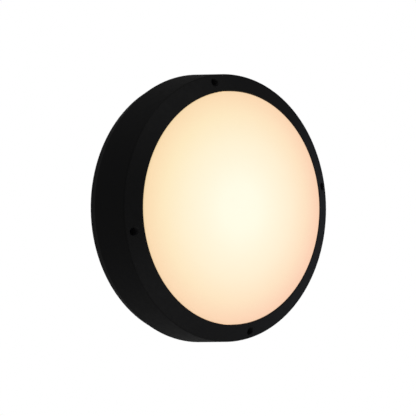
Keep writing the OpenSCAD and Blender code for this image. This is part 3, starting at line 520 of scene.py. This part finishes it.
package = surface("chip_package_white", PACKAGE_TONES, cloud_mm=1.0, roughness=(0.45, 0.55),
                  relief=[(0.3, 0.004)])[0]
phosphor = surface("phosphor_resin", PHOSPHOR_TONES, cloud_mm=0.5, roughness=(0.18, 0.28),
                   relief=[(0.2, 0.006)], IOR=1.5, Emission_Color=linear(PHOSPHOR_LIGHT),
                   Emission_Strength=2.0)[0]
chip = bmesh.new()
bmesh.ops.create_cube(chip, size=1.0)
bmesh.ops.scale(chip, verts=chip.verts, vec=PACKAGE)
bmesh.ops.translate(chip, verts=chip.verts, vec=(0, 0, PACKAGE[2] / 2))
window = [max(chip.faces, key=lambda face: face.normal.z)]
bmesh.ops.inset_region(chip, faces=window, thickness=PACKAGE_RIM)
bmesh.ops.inset_region(chip, faces=window, thickness=WINDOW_SLOPE, depth=-WINDOW_SINK)
window[0].material_index = 1
places = [Matrix.Translation((x, y, low)) @ Matrix.Rotation(math.atan2(y, x), 4, "Z")
          for x, y, low, _ in spots("led_chips")]
stands_for("led_chips", copies(chip, places), "phosphor", package, phosphor)


# Wires: PVC insulation
# Stranded copper in soft PVC with a satin skin, one colour each, but the earth wire has two yellow
# stripes on green. The wires from the terminal block bend in one sweep, and the two to the board rise
# through the tray's bush and bend over to the connector.
WIRE_TONES = {
    "wire_brown": ("#5a3218", "#6b3d1f"), "wire_blue": ("#1f4fa8", "#2a5cb8"),
    "wire_green": ("#2f8a3a", "#3a9a44"), "wire_red": ("#a3201c", "#b52a24"),
    "wire_black": ("#1a1a1b", "#262628")}
EARTH_YELLOW = "#e6c81e"
STRIPES = 2
STRIPE_SHARE = 0.45
MAINS_R = 1.2
LED_R = 0.8
WIRE_RESOLUTION = 3
WIRE_WELD = 0.01
SWEEP_STEPS = 40
LED_SIDE = Matrix.Rotation(math.radians(-20), 3, "Z")
OUTWARDS = LED_SIDE @ Vector((1, 0, 0))
SIDEWAYS = LED_SIDE @ Vector((0, 1, 0))
FORWARDS = Vector((0, 0, 1))
PORT = Vector((48, -52, 17))
PORT_HALF = Vector((0, 2.4, 0))
PORT_DEPTH = Vector((3, 0, 0))
PORT_PULL = Vector((15, 0, 0))
BUSH = 86 * OUTWARDS + 30 * FORWARDS
BUSH_HALF = 1.1 * SIDEWAYS
BUSH_PULL = 10 * FORWARDS
TRAY_T = 1.2 * FORWARDS
TRAY_PULL = 14 * FORWARDS
MOUTH = 70.5 * OUTWARDS + 35.4 * FORWARDS
MOUTH_HALF = 2.5 * SIDEWAYS
MOUTH_PULL = 9 * OUTWARDS
MOUTH_DEPTH = 4.5 * OUTWARDS


def wire(node, slot, radius, start, sweeps, end):
    """A round wire: a straight start, sweeps of four control points each in mm, and a straight end."""
    line = [Vector(start)]
    for sweep in sweeps:
        line += interpolate_bezier(*[Vector(p) for p in sweep], SWEEP_STEPS)
    line.append(Vector(end))
    curve = bpy.data.curves.new(node, "CURVE")
    curve.dimensions = "3D"
    curve.bevel_depth = radius
    curve.bevel_resolution = WIRE_RESOLUTION
    curve.use_fill_caps = True
    run = curve.splines.new("POLY")
    run.points.add(len(line) - 1)
    for point, place in zip(run.points, line):
        point.co = (*place, 1)
    drawn = bpy.data.objects.new(node, curve)
    shape = bmesh.new()
    shape.from_mesh(bpy.data.meshes.new_from_object(drawn))
    bpy.data.objects.remove(drawn)
    bmesh.ops.remove_doubles(shape, verts=shape.verts, dist=radius * WIRE_WELD)
    bmesh.ops.recalc_face_normals(shape, faces=shape.faces)
    stands_for(node, shape, slot, insulation[slot])


insulation = {}
for slot, tones in WIRE_TONES.items():
    pvc, tree, shader, _, tone, _ = surface(
        "pvc_" + slot, tones, cloud_mm=4.0, roughness=(0.36, 0.46),
        relief=[(0.8, 0.006), (0.2, 0.003)], IOR=1.53)
    if slot == "wire_green":
        round_wire = add(tree, "SeparateXYZ", {0: add(tree, "TexCoord").outputs["UV"]}).outputs["Y"]
        repeat = add(tree, "Math", {0: round_wire, 1: 1 / STRIPES}, operation="MODULO").outputs[0]
        stripe = add(tree, "Math", {0: repeat, 1: STRIPE_SHARE / STRIPES},
                     operation="LESS_THAN").outputs[0]
        striped = add(tree, "Mix", {"Factor": stripe, "A": tone, "B": linear(EARTH_YELLOW)},
                      data_type="RGBA")
        tree.links.new(striped.outputs["Result"], shader.inputs["Base Color"])
    insulation[slot] = pvc

wire("wire_live", "wire_brown", MAINS_R, (-10, 40, 12),
     [((-10, 48, 12), (-10, 79, 12), (-90, -48.4, 17), (-48, -48.4, 17))], (-45, -48.4, 17))
wire("wire_neutral", "wire_blue", MAINS_R, (0, 40, 12),
     [((0, 48, 12), (0, 91, 18), (-102, -55.6, 23), (-48, -55.6, 17))], (-45, -55.6, 17))
wire("wire_earth", "wire_green", MAINS_R, (10, 40, 12),
     [((10, 48, 12), (10, 67, 12), (41.74, 62.19, 11.4), (47.9, 45.28, 11.4))], (49.6, 40.6, 11.4))
for node, slot, side in (("wire_led_plus", "wire_red", 1), ("wire_led_minus", "wire_black", -1)):
    port = PORT + side * PORT_HALF
    hole = BUSH + side * BUSH_HALF
    mouth = MOUTH + side * MOUTH_HALF
    up = (port, port + PORT_PULL, hole - BUSH_PULL, hole)
    over = (hole + TRAY_T, hole + TRAY_T + TRAY_PULL, mouth + MOUTH_PULL, mouth)
    wire(node, slot, LED_R, port - PORT_DEPTH, [up, over], mouth - MOUTH_DEPTH)


# Diffuser seal: grey silicone
# An extruded channel, joined into a ring, that the retaining ring presses flat. Silicone is slightly
# see-through and holds fine dust on its skin.
SILICONE_TONES = ("#7c7e80", "#8b8d8e")

silicone = surface("silicone_grey", SILICONE_TONES, cloud_mm=12.0, roughness=(0.42, 0.58),
                   relief=[(1.0, 0.006), (0.2, 0.006)], IOR=1.41,
                   Subsurface_Weight=0.2, Subsurface_Scale=0.002)[0]
finish(silicone, "diffuser_seal")


# Diffuser: opal polycarbonate, lit from behind
# A moulded dome that scatters the light of the board behind it. It is whitest over the board in the
# middle and turns to a warm peach at its edge, a little more so at the lower right.
GLOW_RADIUS_MM = 128
GLOW_COLOURS = [
    (0.00, "#f2fbda"), (0.20, "#f2fad8"), (0.60, "#f2ecc1"), (0.80, "#f1e1b0"), (0.96, "#efd1a0"),
    (1.02, "#e5c895")]
GLOW_STRENGTH = 0.97
GLOW_LEAN = Vector((0.87, 0, -0.5)) / GLOW_RADIUS_MM
GLOW_LEAN_POWER = 2.0
GLOW_LEAN_TINT = "#ffe9ff"
NO_TINT = "#ffffff"
OPAL_TONES = ("#f1ede3", "#f5f1e9")

opal, tree, shader, mm, _, _ = surface(
    "opal_polycarbonate", OPAL_TONES, cloud_mm=20.0, roughness=(0.26, 0.32),
    relief=[(3.0, 0.008), (0.35, 0.003)], IOR=1.58, Emission_Strength=GLOW_STRENGTH)
flat = add(tree, "VectorMath", {0: mm, 1: ALONG_WALL}, operation="MULTIPLY")
radius = add(tree, "VectorMath", {0: flat.outputs[0]}, operation="LENGTH").outputs["Value"]
glow_end = GLOW_COLOURS[-1][0]
share = add(tree, "Math", {0: radius, 1: GLOW_RADIUS_MM * glow_end}, operation="DIVIDE").outputs[0]
ramp = add(tree, "ValToRGB", {"Fac": share})
stops = ramp.color_ramp.elements
while len(stops) < len(GLOW_COLOURS):
    stops.new(1.0)
for stop, (position, colour) in zip(stops, GLOW_COLOURS):
    stop.position = position / glow_end
    stop.color = linear(colour)
across = add(tree, "VectorMath", {0: flat.outputs[0], 1: GLOW_LEAN}, operation="DOT_PRODUCT").outputs["Value"]
outer = add(tree, "Math", {0: share, 1: GLOW_LEAN_POWER}, operation="POWER").outputs[0]
lean = add(tree, "Math", {0: outer, 1: across}, operation="MULTIPLY").outputs[0]
amount = add(tree, "MapRange", {"Value": lean, "From Min": -1.0, "From Max": 1.0}).outputs["Result"]
tint = add(tree, "Mix", {"Factor": amount, "A": linear(NO_TINT), "B": linear(GLOW_LEAN_TINT)},
           data_type="RGBA")
leaned = add(tree, "Mix", {"Factor": 1.0, "A": ramp.outputs["Color"], "B": tint.outputs["Result"]},
             data_type="RGBA", blend_type="MULTIPLY")
tree.links.new(leaned.outputs["Result"], shader.inputs["Emission Color"])
finish(opal, "diffuser")


# Cover screws: black-oxide steel
# M5 socket heads with a knurled rim, at the bottom of the wells. The oxide is a thin blue-black skin
# with a dull shine, darker where oil stays in the knurl.
OXIDE_TONES = ("#3d3e44", "#525459")
CAP_D = 5
CAP_PLAIN = 23
CAP_HEAD_R = 4.25
CAP_HEAD_H = 5.0
CAP_EDGE = 0.5
KNURLS = 32
KNURL_FROM = 0.8
KNURL_TO = 4.1
KNURL_GAP = 0.08
KNURL_DEPTH = 0.14
SOCKET_SIDES = 6
SOCKET_R = 2.31
SOCKET_DEPTH = 2.5
PLAIN_IN_HEAD = 0.5
THREAD_IN_PLAIN = 1.0

oxide = surface("black_oxide_steel", OXIDE_TONES, cloud_mm=1.5, roughness=(0.40, 0.56),
                relief=[(0.6, 0.004), (0.12, 0.004)], Metallic=0.6)[0]
places, length = seats("cover_screws", CAP_HEAD_H)
head = turned([(0, 0), (CAP_HEAD_R, 0), (CAP_HEAD_R, KNURL_FROM), (CAP_HEAD_R, KNURL_TO),
               (CAP_HEAD_R, CAP_HEAD_H - CAP_EDGE), (CAP_HEAD_R - CAP_EDGE, CAP_HEAD_H),
               (0, CAP_HEAD_H)], 2 * KNURLS)
ridges = [f for f in head.faces if KNURL_FROM < f.calc_center_median().z < KNURL_TO]
ridges.sort(key=lambda f: math.atan2(f.calc_center_median().y, f.calc_center_median().x))
bmesh.ops.inset_individual(head, faces=ridges[::2], thickness=KNURL_GAP, depth=-KNURL_DEPTH)
plain = turned([(0, PLAIN_IN_HEAD), (CAP_D / 2, PLAIN_IN_HEAD), (CAP_D / 2, -CAP_PLAIN),
                (0, -CAP_PLAIN)], 2 * KNURLS)
thread = threaded_shank(CAP_D, length - CAP_PLAIN, THREAD_IN_PLAIN)
bmesh.ops.translate(thread, verts=thread.verts, vec=(0, 0, -CAP_PLAIN))
cap = combine(combine(head, plain, "UNION"), thread, "UNION")
turns = [2 * math.pi * k / SOCKET_SIDES for k in range(SOCKET_SIDES)]
socket = [(SOCKET_R * math.cos(a), SOCKET_R * math.sin(a)) for a in turns]
cap = combine(cap, plug(socket, CAP_HEAD_H + CUT_OVER_MM, SOCKET_DEPTH + CUT_OVER_MM), "DIFFERENCE")
stands_for("cover_screws", copies(cap, places), "black_steel", oxide)


# Studio
# A pale floor well below the light, a dim surround, and soft lights in front, above, below, behind
# and on the right. All are weak, because the black body shows hardly more than a sheen.
FLOOR_Z = -1.0
FLOOR_R = 2.6
FLOOR_SIDES = 96
FLOOR_TONES = ("#f2f2f2", "#f6f6f6")
WHITE = "#ffffff"
SURROUND_LIGHT = 0.08
LIGHTS = {
    "right": ((1.7, -0.3, -0.35), (1.4, 2.0), 1.0, "#dfe8ff"),
    "front": ((1.0, -2.4, 0.0), (3.0, 5.0), 1.3, WHITE),
    "front_high": ((0.25, -1.5, 1.3), (1.8, 1.0), 1.35, WHITE),
    "front_low": ((0.25, -1.2, -0.9), (1.6, 0.8), 1.2, WHITE),
    "above": ((-0.5, -0.4, 1.6), (1.2, 1.2), 0.65, WHITE),
    "below": ((-0.4, -0.4, -0.95), (1.0, 1.0), 0.5, WHITE),
    "rear": ((1.5, 1.8, 0.0), (1.6, 1.6), 2.0, WHITE)}

floor_mesh = bmesh.new()
bmesh.ops.create_circle(floor_mesh, cap_ends=True, segments=FLOOR_SIDES, radius=FLOOR_R,
                        matrix=Matrix.Translation((0, 0, FLOOR_Z)))
floor_data = bpy.data.meshes.new("floor")
floor_mesh.to_mesh(floor_data)
floor_mesh.free()
floor = bpy.data.objects.new("floor", floor_data)
scene.collection.objects.link(floor)
pale, tree, shader, _, tone, _ = surface(
    "pale_floor", FLOOR_TONES, cloud_mm=60.0, roughness=(0.85, 0.95), relief=[(8.0, 0.05)])
ray = add(tree, "LightPath").outputs["Is Camera Ray"]
tree.links.new(tone, shader.inputs["Emission Color"])
tree.links.new(ray, shader.inputs["Emission Strength"])
floor_data.materials.append(pale)

for name, (place, size, power, colour) in LIGHTS.items():
    lamp = bpy.data.lights.new(name, "AREA")
    lamp.shape = "RECTANGLE"
    lamp.size, lamp.size_y = size
    lamp.energy = power
    lamp.color = linear(colour)[:3]
    light = bpy.data.objects.new(name, lamp)
    light.location = place
    light.rotation_euler = (-light.location).to_track_quat("-Z", "Y").to_euler()
    scene.collection.objects.link(light)

world = bpy.data.worlds.new("surround")
world.use_nodes = True
scene.world = world
tree = world.node_tree
tree.nodes.clear()
ray = add(tree, "LightPath")
dim = add(tree, "Background", {"Color": linear(WHITE), "Strength": SURROUND_LIGHT})
white = add(tree, "Background", {"Color": linear(WHITE), "Strength": 1.0})
mixed = add(tree, "MixShader", {0: ray.outputs["Is Camera Ray"], 1: dim.outputs[0], 2: white.outputs[0]})
add(tree, "OutputWorld", {"Surface": mixed.outputs[0]})
scene.view_settings.view_transform = "Standard"
